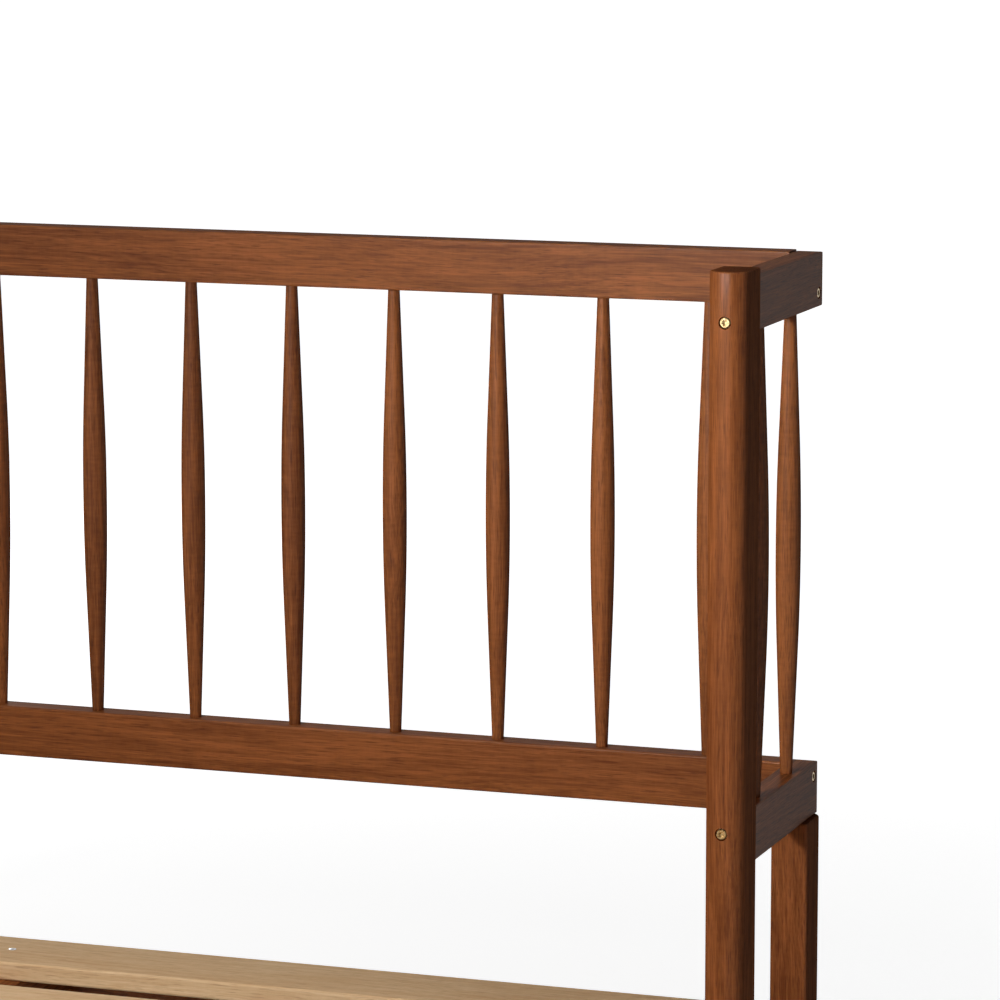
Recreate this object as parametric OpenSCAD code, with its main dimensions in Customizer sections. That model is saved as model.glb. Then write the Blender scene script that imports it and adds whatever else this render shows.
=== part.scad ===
// Platform bed with a wrap-around spindle headboard, in stained rubberwood.
// Millimetres, +Z up, head end at +Y, origin on the floor under the middle of the bed.

/* [Mattress] */
// Width of the mattress that the bed takes
mattress_w = 1524; // [1350:1:1650]
// Length of the mattress that the bed takes
mattress_l = 2032; // [1850:1:2150]
// Room between the mattress and the rail on each side
mattress_side_gap = 15; // [8:1:30]
// Room between the mattress and the rail at each end
mattress_end_gap = 6; // [3:1:20]

/* [Headboard] */
// Height of the rear top rail's top above the floor
headboard_h = 1000; // [900:1:1150]
// Drop from the top of the top rail to the top of the middle rail
mid_rail_drop = 490; // [420:1:540]
// Height of the headboard and wing rails
rail_h = 51; // [44:1:62]
// Thickness of all rails and boards
rail_t = 26; // [24:1:30]
// Length of a wing rail, from the rear of the bed to the back of the post
wing_l = 226; // [215:1:300]
// How far the wing rails lie below the rear rails
wing_drop = 1.5; // [0:0.1:3]
// Radius of the eased edges on rails and boards
edge_r = 1.8; // [1:0.1:3]

/* [Posts] */
// Width of a post across the bed
post_w = 36; // [34:1:46]
// Depth of a post along the bed
post_d = 53; // [48:1:70]
// Radius of the two outer corners of a post
post_corner_r = 14; // [8:0.5:16]
// Rise of a post's top above the rail beside it
post_rise = 6; // [3:0.5:15]
// Radius of the two inner corners of a post
post_back_r = 2.8; // [2.6:0.1:2.9]
// Radius of the eased edge round a post's top and foot
post_edge_r = 2.2; // [1:0.1:2.2]

/* [Spindles] */
// Number of spindles across the rear
rear_spindle_count = 14; // [8:1:14]
// Distance from a wing's middle plane to the first rear spindle
rear_spindle_end = 93.5; // [70:0.5:130]
// Distance from the rear of the bed to a wing's rear spindle
wing_spindle_inset = 65; // [55:1:80]
// Spacing of the two spindles in a wing
wing_spindle_pitch = 108; // [80:1:120]
// Diameter of a spindle at its middle
spindle_mid_d = 23.8; // [18:0.1:26]
// Diameter of a spindle where it meets a rail
spindle_end_d = 11.4; // [10.6:0.1:14]
// Length of the straight taper at each end of a spindle
spindle_taper_l = 122; // [80:1:180]
// Diameter of the round tenon on a spindle
tenon_d = 9.6; // [8:0.1:10.4]
// Length of the round tenon on a spindle
tenon_l = 16; // [10:1:22]

/* [Base] */
// Height of a side board
board_h = 120; // [106:1:150]
// Height of the side boards' top above the floor
board_top = 300; // [260:1:380]
// Depth of the housing in a head post that takes a side board's end
housing_depth = 6; // [4:0.5:9]
// Width of a ledger strip
ledger_w = 25; // [20:1:32]
// Height of a ledger strip
ledger_h = 25; // [18:1:32]

/* [Slats] */
// Number of slats
slat_count = 12; // [8:1:12]
// Width of a slat
slat_w = 95; // [70:1:110]
// Thickness of a slat
slat_t = 19; // [15:1:24]
// Depth of the slats' top below the side boards' top
slat_drop = 20; // [12:1:32]
// Distance from the rear of the bed to the first slat's edge
first_slat = 62; // [58:1:90]
// Distance from the foot board to the last slat
last_slat_gap = 12; // [5:1:60]

/* [Centre support] */
// Width of the centre beam
beam_w = 60; // [46:1:80]
// Height of the centre beam
beam_h = 45; // [36:1:50]
// Length of the stub tenon at each end of the beam
beam_tenon_l = 10; // [6:1:14]
// Diameter of a centre leg at its top
centre_leg_top_d = 46; // [38:1:56]
// Diameter of a centre leg at its foot
centre_leg_foot_d = 34; // [28:1:44]
// Diameter of a leveller's pad
pad_d = 40; // [30:1:50]
// Thickness of a leveller's pad at its rim
pad_t = 6; // [4:0.5:9]
// Diameter of a leveller's threaded stud
stud_d = 8; // [6:1:10]
// Travel of a leveller
leveller_travel = 12; // [5:1:20]

/* [Hardware] */
// Diameter of a connector bolt's shank
bolt_d = 6; // [5:1:8]
// Diameter of a connector bolt's head
bolt_head_d = 10; // [8.5:0.5:11]
// Height of a connector bolt's head
bolt_head_h = 6; // [5:0.5:6]
// Diameter of the counterbore round a bolt's head
counterbore_d = 11.6; // [11.2:0.1:13]
// Depth of the counterbore
counterbore_depth = 6.5; // [6.5:0.5:10]
// Distance of a bolt from the rail edge that it is nearest
bolt_inset = 13; // [11:0.5:16]
// Distance from a butt joint to the barrel nut behind it
nut_inset = 27; // [20:1:32]
// Diameter of a barrel nut
nut_d = 10; // [9:0.5:12]
// Length of a barrel nut
nut_l = 14; // [10:1:18]
// Diameter of a dowel
dowel_d = 8; // [6:1:9]
// Length of a dowel
dowel_l = 25; // [18:1:28]
// Clearance round pins, tenons and bolts in their holes
clearance = 0.2; // [0.1:0.05:0.4]

/* [Hidden] */
$fn = 64;

bed_w = mattress_w + 2 * mattress_side_gap + 2 * rail_t;
well_l = mattress_l + 2 * mattress_end_gap;
bed_l = rail_t + well_l + rail_t / 2 + post_d / 2;
rear_y = bed_l / 2;

// The middle plane of a wing, a side board and the posts on the right-hand side
side_x = bed_w / 2 - rail_t / 2;
post_out_x = side_x + post_w / 2;
post_in_x = side_x - post_w / 2;
board_in_x = bed_w / 2 - rail_t;

// Places along the bed, from the head to the foot
rear_rail_y = rear_y - rail_t / 2;
rear_leg_y = rear_y - post_d / 2;
rear_leg_front = rear_y - post_d;
post_back = rear_y - wing_l;
post_front = post_back - post_d;
board_head = post_front + housing_depth;
foot_board_in = rear_y - rail_t - well_l;
foot_board_y = foot_board_in - rail_t / 2;
foot_leg_back = foot_board_y + post_d / 2;
foot_leg_front = foot_board_y - post_d / 2;

// Heights of the rails' undersides
top_z = headboard_h - rail_h;
mid_z = headboard_h - mid_rail_drop - rail_h;
board_z = board_top - board_h;
base_z = board_z + (board_h - rail_h) / 2;
slat_top = board_top - slat_drop;
slat_z = slat_top - slat_t;
ledger_z = slat_z - ledger_h;
beam_z = slat_z - beam_h;

// Heights of the bolts and dowels in the joints
top_bolt_z = top_z - wing_drop + bolt_inset;
top_dowel_z = headboard_h - wing_drop - bolt_inset;
mid_bolt_z = mid_z - wing_drop + rail_h - bolt_inset;
mid_dowel_z = mid_z + bolt_inset;
base_high_z = base_z + rail_h - bolt_inset;
base_low_z = base_z + bolt_inset;
board_fix_edge = 17;
board_high_z = board_top - board_fix_edge;
board_low_z = board_z + board_fix_edge;
foot_fix_step = 21;
foot_high_z = board_high_z - foot_fix_step;
foot_low_z = board_low_z + foot_fix_step;
board_mid_z = board_z + board_h / 2;
board_dowel_z = board_mid_z - foot_fix_step;

// Spindle pitch and outline
rear_spindle_pitch = 2 * (side_x - rear_spindle_end) / (rear_spindle_count - 1);
spindle_l = mid_rail_drop - rail_h;
spindle_half = spindle_l / 2;
taper_slope = (spindle_mid_d - spindle_end_d) / (spindle_half + spindle_taper_l);
belly_steps = 9;
tenon_chamfer = 1;
socket_spare = 1;

bolt_spare = 6;
dowel_hole_spare = 0.5;
hex_across = 5;
hex_depth = 3.5;
bolt_chamfer = 0.8;
cut_over = 1;

// Slat spacing
slat_run = (rear_y - first_slat) - (foot_board_in + last_slat_gap) - slat_w;
slat_pitch = slat_run / (slat_count - 1);
slat_edge_r = 3;

// Beam tenon, centre legs and levellers
beam_head = rear_leg_y - rail_t / 2;
beam_foot = foot_board_in;
beam_shoulder = 9;
leg_tenon_d = 20;
leg_tenon_l = 22;
seat_gap = 0.3;
pad_boss_d = 16;
pad_boss_h = 3.5;
pad_socket_depth = 6;
collar_across = 13;
collar_h = 5;
stud_reach = 34;
collar_z = pad_t + pad_boss_h + seat_gap;
centre_leg_z = collar_z + collar_h + seat_gap;
centre_leg_run = beam_head - beam_foot;

wood = [0.49, 0.29, 0.17];
wood_dark = [0.40, 0.23, 0.13];
slat_wood = [0.80, 0.68, 0.50];
brass = [0.78, 0.62, 0.32];
steel = [0.70, 0.71, 0.73];
plastic = [0.15, 0.15, 0.16];

function two_digits(i) = i < 10 ? str("0", i) : str(i);
rear_spindle_names = [for (i = [1:rear_spindle_count]) str("rear_spindle_", two_digits(i))];
slat_names = [for (i = [1:slat_count]) str("slat_", two_digits(i))];

// A bolt is [point on the face under its head, way it runs, thickness that it passes through].
// All are on the right-hand side, and the left-hand side is their mirror image.
top_corner_bolt = [[bed_w / 2, rear_rail_y, top_bolt_z], "across", rail_t];
mid_corner_bolt = [[bed_w / 2, rear_rail_y, mid_bolt_z], "across", rail_t];
base_corner_bolt = [[post_out_x, rear_leg_y, base_low_z], "across", post_w];
top_post_bolt = [[side_x, post_front, top_bolt_z], "headward", post_d];
mid_post_bolt = [[side_x, post_front, mid_bolt_z], "headward", post_d];
base_post_bolt = [[side_x, board_head, base_high_z], "headward", post_d - housing_depth];
base_leg_bolt = [[side_x, rear_y, base_high_z], "footward", post_d];
head_board_bolts = [
    for (z = [board_high_z, board_low_z]) [[side_x, post_back, z], "footward", post_d - housing_depth]
];
foot_side_bolts = [
    for (z = [board_high_z, board_low_z]) [[side_x, foot_leg_front, z], "headward", post_d]
];
foot_board_bolts = [
    for (z = [foot_high_z, foot_low_z]) [[post_out_x, foot_board_y, z], "across", post_w]
];
side_bolts = concat(
    [top_corner_bolt, mid_corner_bolt, base_corner_bolt, top_post_bolt, mid_post_bolt],
    [base_post_bolt, base_leg_bolt],
    head_board_bolts,
    foot_side_bolts,
    foot_board_bolts
);

// A dowel is [point on its butt joint, way it runs].
top_corner_dowel = [[board_in_x, rear_rail_y, top_dowel_z], "across"];
mid_corner_dowel = [[board_in_x, rear_rail_y, mid_dowel_z], "across"];
base_corner_dowel = [[post_in_x, rear_leg_y, base_high_z], "across"];
top_post_dowel = [[side_x, post_back, top_dowel_z], "headward"];
mid_post_dowel = [[side_x, post_back, mid_dowel_z], "headward"];
base_post_dowel = [[side_x, post_back, base_low_z], "headward"];
base_leg_dowel = [[side_x, rear_leg_front, base_low_z], "headward"];
leg_top_dowel = [[side_x, rear_leg_y, mid_z - wing_drop], "up"];
head_board_dowel = [[side_x, board_head, board_dowel_z], "headward"];
foot_side_dowel = [[side_x, foot_leg_back, board_mid_z], "headward"];
foot_board_dowel = [[post_in_x, foot_board_y, board_mid_z], "across"];
side_dowels = [
    top_corner_dowel, mid_corner_dowel, base_corner_dowel, top_post_dowel, mid_post_dowel,
    base_post_dowel, base_leg_dowel, leg_top_dowel, head_board_dowel, foot_side_dowel, foot_board_dowel
];

module both_sides() {
    children();
    mirror([1, 0, 0]) children();
}

// Turns +Z to the way that a bolt or dowel runs
module run(place, way) {
    turn = way == "across" ? [0, -90, 0]
        : way == "headward" ? [-90, 0, 0]
        : way == "footward" ? [90, 0, 0]
        : [0, 0, 0];
    translate(place) rotate(turn) children();
}

// Rectangle about the origin with its four corners rounded
module soft_rect(w, h, r) {
    square([w - 2 * r, h], center = true);
    square([w, h - 2 * r], center = true);
    for (x = [-1, 1], y = [-1, 1]) translate([x * (w / 2 - r), y * (h / 2 - r)]) circle(r);
}

// Bar along X with its long edges eased, from x = 0
module bar(l, w, h, r) {
    rotate([90, 0, 90]) linear_extrude(l) soft_rect(w, h, r);
}

// Upright column of radius r, its top and foot eased like the post's
module post_corner(r, h) {
    ease = post_edge_r;
    rotate_extrude() {
        square([r - ease, h]);
        translate([0, ease]) square([r, h - 2 * ease]);
        for (z = [ease, h - ease]) translate([r - ease, z]) intersection() {
            circle(ease);
            translate([ease - r, -ease]) square([r, 2 * ease]);
        }
    }
}

// Post or leg of the given height: large outer corners towards -Y, eased corners at its flat
// back, which lies on y = 0, and the same ease all round its top and foot
module post_blank(h) {
    small = post_back_r;
    large = post_corner_r;
    for (s = [-1, 1]) {
        translate([s * (post_w / 2 - large), large - post_d, 0]) post_corner(large, h);
        translate([s * (post_w / 2 - small), -small, 0]) post_corner(small, h);
    }
    translate([large - post_w / 2, -post_d / 2, h / 2]) bar(post_w - 2 * large, post_d, h, post_edge_r);
    translate([0, -small, h / 2]) rotate([0, 0, -90]) bar(post_d - large - small, post_w, h, post_edge_r);
    translate([small - post_w / 2, (large - post_d) / 2, h / 2])
        bar(post_w - 2 * small, post_d - large, h, post_edge_r);
}

module bolt_cuts(bolts) {
    for (b = bolts) {
        run(b[0], b[1]) translate([0, 0, -cut_over])
            cylinder(d = counterbore_d, h = counterbore_depth + cut_over);
        run(b[0], b[1]) cylinder(d = bolt_d + 2 * clearance, h = b[2] + nut_inset + bolt_spare + 1);
    }
}

// Blind cross hole for a barrel nut, opening inwards on a side piece and towards the head on a cross piece
module nut_cuts(bolts) {
    for (b = bolts) {
        run(b[0], b[1]) translate([0, 0, b[2] + nut_inset]) nut_turn(b[1])
            translate([0, 0, -nut_l / 2 - clearance])
                cylinder(d = nut_d + 2 * clearance, h = rail_t / 2 + nut_l / 2 + clearance + cut_over);
    }
}

module nut_turn(way) {
    turn = way == "across" ? [-90, 0, 0] : [0, -90, 0];
    rotate(turn) children();
}

module dowel_cuts(dowels) {
    for (d = dowels) run(d[0], d[1])
        cylinder(d = dowel_d + 2 * clearance, h = dowel_l + 2 * dowel_hole_spare, center = true);
}

module spindle_socket() {
    cylinder(d = tenon_d + 2 * clearance, h = 2 * (tenon_l + socket_spare), center = true);
}

// Double-tapered turned spindle with a round tenon at each end, standing on z = 0
function spindle_r(z) =
    let (from_end = min(z, spindle_l - z), past = max(0, from_end - spindle_taper_l))
    spindle_end_d / 2 + taper_slope * from_end
        - taper_slope * past * past / (2 * (spindle_half - spindle_taper_l));

module spindle() {
    belly = [for (i = [0:2 * belly_steps])
        spindle_taper_l + i * (spindle_l - 2 * spindle_taper_l) / (2 * belly_steps)];
    heights = concat([0], belly, [spindle_l]);
    outline = concat(
        [[0, -tenon_l], [tenon_d / 2 - tenon_chamfer, -tenon_l]],
        [[tenon_d / 2, tenon_chamfer - tenon_l], [tenon_d / 2, 0]],
        [for (z = heights) [spindle_r(z), z]],
        [[tenon_d / 2, spindle_l], [tenon_d / 2, spindle_l + tenon_l - tenon_chamfer]],
        [[tenon_d / 2 - tenon_chamfer, spindle_l + tenon_l], [0, spindle_l + tenon_l]]
    );
    rotate_extrude() polygon(outline);
}

function rear_spindle_x(i) = rear_spindle_end - side_x + (i - 1) * rear_spindle_pitch;
wing_spindle_ys = [rear_y - wing_spindle_inset, rear_y - wing_spindle_inset - wing_spindle_pitch];

module rear_spindle(i) {
    color(wood) translate([rear_spindle_x(i), rear_rail_y, mid_z + rail_h]) spindle();
}

module wing_spindle(k) {
    color(wood) translate([side_x, wing_spindle_ys[k], mid_z + rail_h - wing_drop]) spindle();
}

module head_post() {
    color(wood) difference() {
        translate([side_x, post_back, 0]) post_blank(headboard_h + post_rise);
        bolt_cuts(concat([top_post_bolt, mid_post_bolt, base_post_bolt], head_board_bolts));
        dowel_cuts([top_post_dowel, mid_post_dowel, base_post_dowel, head_board_dowel]);
        translate([side_x, post_front, board_mid_z])
            cube([rail_t + 2 * clearance, 2 * housing_depth, board_h + 2 * clearance], center = true);
    }
}

module rear_leg() {
    color(wood) difference() {
        translate([side_x, rear_leg_front, 0]) mirror([0, 1, 0]) post_blank(mid_z - wing_drop);
        bolt_cuts([base_corner_bolt, base_leg_bolt]);
        dowel_cuts([base_corner_dowel, base_leg_dowel, leg_top_dowel]);
    }
}

module foot_leg() {
    color(wood) difference() {
        translate([side_x, foot_leg_back, 0]) post_blank(board_top + post_rise);
        bolt_cuts(concat(foot_side_bolts, foot_board_bolts));
        dowel_cuts([foot_side_dowel, foot_board_dowel]);
    }
}

// Rear rail between the wings, from one inner face to the other
module rear_rail_blank(z) {
    translate([-board_in_x, rear_rail_y, z + rail_h / 2]) bar(2 * board_in_x, rail_t, rail_h, edge_r);
}

module headboard_top_rail() {
    color(wood) difference() {
        rear_rail_blank(top_z);
        both_sides() bolt_cuts([top_corner_bolt]);
        both_sides() nut_cuts([top_corner_bolt]);
        both_sides() dowel_cuts([top_corner_dowel]);
        for (i = [1:rear_spindle_count])
            translate([rear_spindle_x(i), rear_rail_y, top_z]) spindle_socket();
    }
}

module headboard_mid_rail() {
    color(wood) difference() {
        rear_rail_blank(mid_z);
        both_sides() bolt_cuts([mid_corner_bolt]);
        both_sides() nut_cuts([mid_corner_bolt]);
        both_sides() dowel_cuts([mid_corner_dowel]);
        for (i = [1:rear_spindle_count]) translate([rear_spindle_x(i), rear_rail_y, mid_z + rail_h])
            spindle_socket();
    }
}

// Stub tenon on the beam, and the mortise that takes it when grow is the clearance
module beam_tenons(grow) {
    w = beam_w - 2 * beam_shoulder + 2 * grow;
    h = beam_h - 2 * beam_shoulder + 2 * grow;
    l = centre_leg_run + 2 * beam_tenon_l + 4 * grow;
    translate([0, (beam_head + beam_foot) / 2, beam_z + beam_h / 2]) cube([w, l, h], center = true);
}

module headboard_base_rail() {
    color(wood) difference() {
        translate([-post_in_x, rear_leg_y, base_z + rail_h / 2]) bar(2 * post_in_x, rail_t, rail_h, edge_r);
        both_sides() bolt_cuts([base_corner_bolt]);
        both_sides() nut_cuts([base_corner_bolt]);
        both_sides() dowel_cuts([base_corner_dowel]);
        beam_tenons(clearance);
    }
}

// Wing rail of length l that ends at y, its end towards the head eased on every edge
module wing_rail_blank(y, l, z) {
    mid = [side_x, y - l / 2, z + rail_h / 2];
    intersection() {
        translate([side_x, y, mid[2]]) rotate([0, 0, -90]) bar(l, rail_t, rail_h, edge_r);
        translate([bed_w / 2 - rail_t, mid[1] - edge_r, mid[2]])
            bar(rail_t, l + 2 * edge_r, rail_h, edge_r);
        translate([side_x, mid[1] - edge_r, z])
            linear_extrude(rail_h) soft_rect(rail_t, l + 2 * edge_r, edge_r);
    }
}

module wing_top_rail() {
    z = top_z - wing_drop;
    color(wood) difference() {
        wing_rail_blank(rear_y, wing_l, z);
        bolt_cuts([top_corner_bolt, top_post_bolt]);
        nut_cuts([top_post_bolt]);
        dowel_cuts([top_corner_dowel, top_post_dowel]);
        for (y = wing_spindle_ys) translate([side_x, y, z]) spindle_socket();
    }
}

module wing_mid_rail() {
    z = mid_z - wing_drop;
    color(wood) difference() {
        wing_rail_blank(rear_y, wing_l, z);
        bolt_cuts([mid_corner_bolt, mid_post_bolt]);
        nut_cuts([mid_post_bolt]);
        dowel_cuts([mid_corner_dowel, mid_post_dowel, leg_top_dowel]);
        for (y = wing_spindle_ys) translate([side_x, y, z + rail_h]) spindle_socket();
    }
}

module wing_base_rail() {
    l = rear_leg_front - post_back;
    color(wood) difference() {
        translate([side_x, rear_leg_front, base_z + rail_h / 2])
            rotate([0, 0, -90]) bar(l, rail_t, rail_h, edge_r);
        bolt_cuts([base_post_bolt, base_leg_bolt]);
        nut_cuts([base_post_bolt, base_leg_bolt]);
        dowel_cuts([base_post_dowel, base_leg_dowel]);
    }
}

module side_board() {
    color(wood) difference() {
        translate([side_x, board_head, board_mid_z]) rotate([0, 0, -90])
            bar(board_head - foot_leg_back, rail_t, board_h, edge_r);
        bolt_cuts(concat(head_board_bolts, foot_side_bolts));
        nut_cuts(concat(head_board_bolts, foot_side_bolts));
        dowel_cuts([head_board_dowel, foot_side_dowel]);
    }
}

module foot_board() {
    color(wood) difference() {
        translate([-post_in_x, foot_board_y, board_mid_z]) bar(2 * post_in_x, rail_t, board_h, edge_r);
        both_sides() bolt_cuts(foot_board_bolts);
        both_sides() nut_cuts(foot_board_bolts);
        both_sides() dowel_cuts([foot_board_dowel]);
        beam_tenons(clearance);
    }
}

// Strip under the slat ends, notched round the inner side of the head post
module slat_ledger() {
    l = rear_leg_front - foot_leg_back;
    notch = post_w / 2 - rail_t / 2 + seat_gap;
    color(wood_dark) difference() {
        translate([board_in_x - ledger_w / 2, rear_leg_front, ledger_z + ledger_h / 2]) rotate([0, 0, -90])
            bar(l, ledger_w, ledger_h, edge_r);
        translate([board_in_x, post_back - post_d / 2, ledger_z + ledger_h / 2])
            cube([2 * notch, post_d + 2 * seat_gap, ledger_h + 2 * cut_over], center = true);
    }
}

module slat(i) {
    y = rear_y - first_slat - slat_w / 2 - (i - 1) * slat_pitch;
    reach = post_in_x - 2;
    color(slat_wood) translate([-reach, y, slat_z + slat_t / 2])
        bar(2 * reach, slat_w, slat_t, slat_edge_r);
}

function centre_leg_y(k) = beam_head - k * centre_leg_run / 3;

module centre_beam() {
    color(wood_dark) difference() {
        union() {
            translate([0, beam_head, beam_z + beam_h / 2]) rotate([0, 0, -90])
                bar(centre_leg_run, beam_w, beam_h, edge_r);
            beam_tenons(0);
        }
        for (k = [1, 2]) translate([0, centre_leg_y(k), beam_z])
            cylinder(d = leg_tenon_d + 2 * clearance, h = 2 * (leg_tenon_l + socket_spare), center = true);
    }
}

// Round tapered leg with a turned tenon on top and a bore for the leveller's stud
module centre_leg(k) {
    color(wood_dark) translate([0, centre_leg_y(k), 0]) difference() {
        union() {
            translate([0, 0, centre_leg_z])
                cylinder(d1 = centre_leg_foot_d, d2 = centre_leg_top_d, h = beam_z - centre_leg_z);
            translate([0, 0, beam_z - 1]) cylinder(d = leg_tenon_d, h = leg_tenon_l + 1);
        }
        translate([0, 0, centre_leg_z - cut_over])
            cylinder(d = stud_d + 2 * seat_gap, h = stud_reach + socket_spare + cut_over);
    }
}

module leveller_pad(k) {
    rim_r = 1.5;
    outline = [
        [0, 0], [pad_d / 2 - rim_r, 0], [pad_d / 2, rim_r], [pad_d / 2, pad_t - rim_r],
        [pad_d / 2 - rim_r, pad_t], [pad_boss_d / 2, pad_t], [pad_boss_d / 2, pad_t + pad_boss_h],
        [stud_d / 2 + seat_gap, pad_t + pad_boss_h],
        [stud_d / 2 + seat_gap, pad_t + pad_boss_h - pad_socket_depth],
        [0, pad_t + pad_boss_h - pad_socket_depth]
    ];
    color(plastic) translate([0, centre_leg_y(k), 0]) rotate_extrude() polygon(outline);
}

module leveller_stud(k) {
    low = pad_t + pad_boss_h - pad_socket_depth + seat_gap;
    high = centre_leg_z + stud_reach;
    color(steel) translate([0, centre_leg_y(k), 0]) union() {
        translate([0, 0, low]) cylinder(d = stud_d, h = high - low);
        translate([0, 0, collar_z]) cylinder(d = collar_across / cos(30), h = collar_h, $fn = 6);
    }
}

// Cap screw with a hex socket, its head's seat at the foot of the counterbore
module bolt(through) {
    seat = counterbore_depth;
    top = seat - bolt_head_h;
    difference() {
        union() {
            translate([0, 0, top])
                cylinder(d1 = bolt_head_d - 2 * bolt_chamfer, d2 = bolt_head_d, h = bolt_chamfer);
            translate([0, 0, top + bolt_chamfer]) cylinder(d = bolt_head_d, h = bolt_head_h - bolt_chamfer);
            cylinder(d = bolt_d, h = through + nut_inset + bolt_spare);
        }
        translate([0, 0, -cut_over]) cylinder(d = bolt_d + 1, h = top + cut_over);
        translate([0, 0, top - cut_over])
            cylinder(d = hex_across / cos(30), h = hex_depth + cut_over, $fn = 6);
    }
}

module connector_bolts() {
    color(brass) both_sides() for (b = side_bolts) run(b[0], b[1]) bolt(b[2]);
}

module barrel_nuts() {
    color(brass) both_sides() for (b = side_bolts)
        run(b[0], b[1]) translate([0, 0, b[2] + nut_inset]) difference() {
            nut_turn(b[1]) cylinder(d = nut_d, h = nut_l, center = true);
            cylinder(d = bolt_d + clearance, h = 2 * nut_d, center = true);
        }
}

module dowels() {
    color(slat_wood) both_sides() for (d = side_dowels)
        run(d[0], d[1]) cylinder(d = dowel_d, h = dowel_l, center = true);
}

head_post();  // head_post_right
mirror([1, 0, 0]) head_post();  // head_post_left
rear_leg();  // rear_leg_right
mirror([1, 0, 0]) rear_leg();  // rear_leg_left
headboard_top_rail();
headboard_mid_rail();
headboard_base_rail();
wing_top_rail();  // wing_top_rail_right
mirror([1, 0, 0]) wing_top_rail();  // wing_top_rail_left
wing_mid_rail();  // wing_mid_rail_right
mirror([1, 0, 0]) wing_mid_rail();  // wing_mid_rail_left
wing_base_rail();  // wing_base_rail_right
mirror([1, 0, 0]) wing_base_rail();  // wing_base_rail_left
for (i = [1:rear_spindle_count]) rear_spindle(i);
wing_spindle(0);  // wing_spindle_right_rear
wing_spindle(1);  // wing_spindle_right_front
mirror([1, 0, 0]) wing_spindle(0);  // wing_spindle_left_rear
mirror([1, 0, 0]) wing_spindle(1);  // wing_spindle_left_front
side_board();  // side_board_right
mirror([1, 0, 0]) side_board();  // side_board_left
foot_board();
foot_leg();  // foot_leg_right
mirror([1, 0, 0]) foot_leg();  // foot_leg_left
slat_ledger();  // slat_ledger_right
mirror([1, 0, 0]) slat_ledger();  // slat_ledger_left
for (i = [1:slat_count]) slat(i);
centre_beam();
centre_leg(1);  // centre_leg_head
centre_leg(2);  // centre_leg_foot
leveller_pad(1);  // leveller_pad_head
leveller_pad(2);  // leveller_pad_foot
leveller_stud(1);  // leveller_stud_head
leveller_stud(2);  // leveller_stud_foot
connector_bolts();
barrel_nuts();
dowels();
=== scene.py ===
# Looks of a platform bed with a wrap-around spindle headboard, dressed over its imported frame.
# The frame is in metres: +Z up, head end at +Y, origin on the floor under the middle of the bed.
import math

import bmesh
import bpy
from mathutils import Euler, Matrix, Vector


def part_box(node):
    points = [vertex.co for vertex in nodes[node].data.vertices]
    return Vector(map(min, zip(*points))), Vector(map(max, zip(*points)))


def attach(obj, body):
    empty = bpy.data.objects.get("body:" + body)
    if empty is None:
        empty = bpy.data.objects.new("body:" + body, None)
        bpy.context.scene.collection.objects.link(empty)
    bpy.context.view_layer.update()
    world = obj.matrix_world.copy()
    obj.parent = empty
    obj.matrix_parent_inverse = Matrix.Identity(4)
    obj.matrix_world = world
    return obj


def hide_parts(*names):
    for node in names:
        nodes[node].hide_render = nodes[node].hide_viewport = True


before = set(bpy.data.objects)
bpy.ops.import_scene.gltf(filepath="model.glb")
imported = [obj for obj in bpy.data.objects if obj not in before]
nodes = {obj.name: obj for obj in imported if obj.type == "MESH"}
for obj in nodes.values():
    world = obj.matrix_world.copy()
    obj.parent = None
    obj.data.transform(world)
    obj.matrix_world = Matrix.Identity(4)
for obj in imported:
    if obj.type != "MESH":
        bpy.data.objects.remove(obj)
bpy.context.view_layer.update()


# Head posts and the legs under the bed's other corners.
# Each is one length of rubberwood with its outer corners rounded over, stained walnut brown
# and sprayed with satin lacquer. The grain runs up the post.
def new_group(name, inputs, outputs):
    group = bpy.data.node_groups.new(name, "ShaderNodeTree")
    for label, kind, value in inputs:
        socket = group.interface.new_socket(label, in_out="INPUT", socket_type=kind)
        if value is not None:
            socket.default_value = value
    for label, kind in outputs:
        group.interface.new_socket(label, in_out="OUTPUT", socket_type=kind)
    return group


def put(tree, kind, settings=None, **values):
    """Adds a node. Settings are its properties. Values go to its inputs by name, or by number as in i0."""
    node = tree.nodes.new(kind)
    for key, value in (settings or {}).items():
        setattr(node, key, value)
    for key, value in values.items():
        label = key.replace("_", " ")
        socket = node.inputs[label] if label in node.inputs else node.inputs[int(key[1:])]
        if isinstance(value, bpy.types.NodeSocket):
            tree.links.new(value, socket)
        else:
            socket.default_value = value
    return node


def math_node(tree, operation, a, b=None, c=None, clamp=False):
    node = tree.nodes.new("ShaderNodeMath")
    node.operation = operation
    node.use_clamp = clamp
    for socket, value in zip(node.inputs, (a, b, c)):
        if isinstance(value, bpy.types.NodeSocket):
            tree.links.new(value, socket)
        elif value is not None:
            socket.default_value = value
    return node.outputs[0]


def ramp(tree, value, low, high, out_low=0.0, out_high=1.0):
    """Value taken from the range low to high, smoothly, to the range out_low to out_high."""
    node = tree.nodes.new("ShaderNodeMapRange")
    node.interpolation_type = "SMOOTHSTEP"
    for label, number in (("From Min", low), ("From Max", high), ("To Min", out_low), ("To Max", out_high)):
        node.inputs[label].default_value = number
    tree.links.new(value, node.inputs["Value"])
    return node.outputs["Result"]


def mix_colour(tree, factor, a, b, blend="MIX"):
    node = tree.nodes.new("ShaderNodeMix")
    node.data_type = "RGBA"
    node.blend_type = blend
    for socket, value in ((node.inputs[0], factor), (node.inputs[6], a), (node.inputs[7], b)):
        if isinstance(value, bpy.types.NodeSocket):
            tree.links.new(value, socket)
        else:
            socket.default_value = value
    return node.outputs[2]


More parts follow.
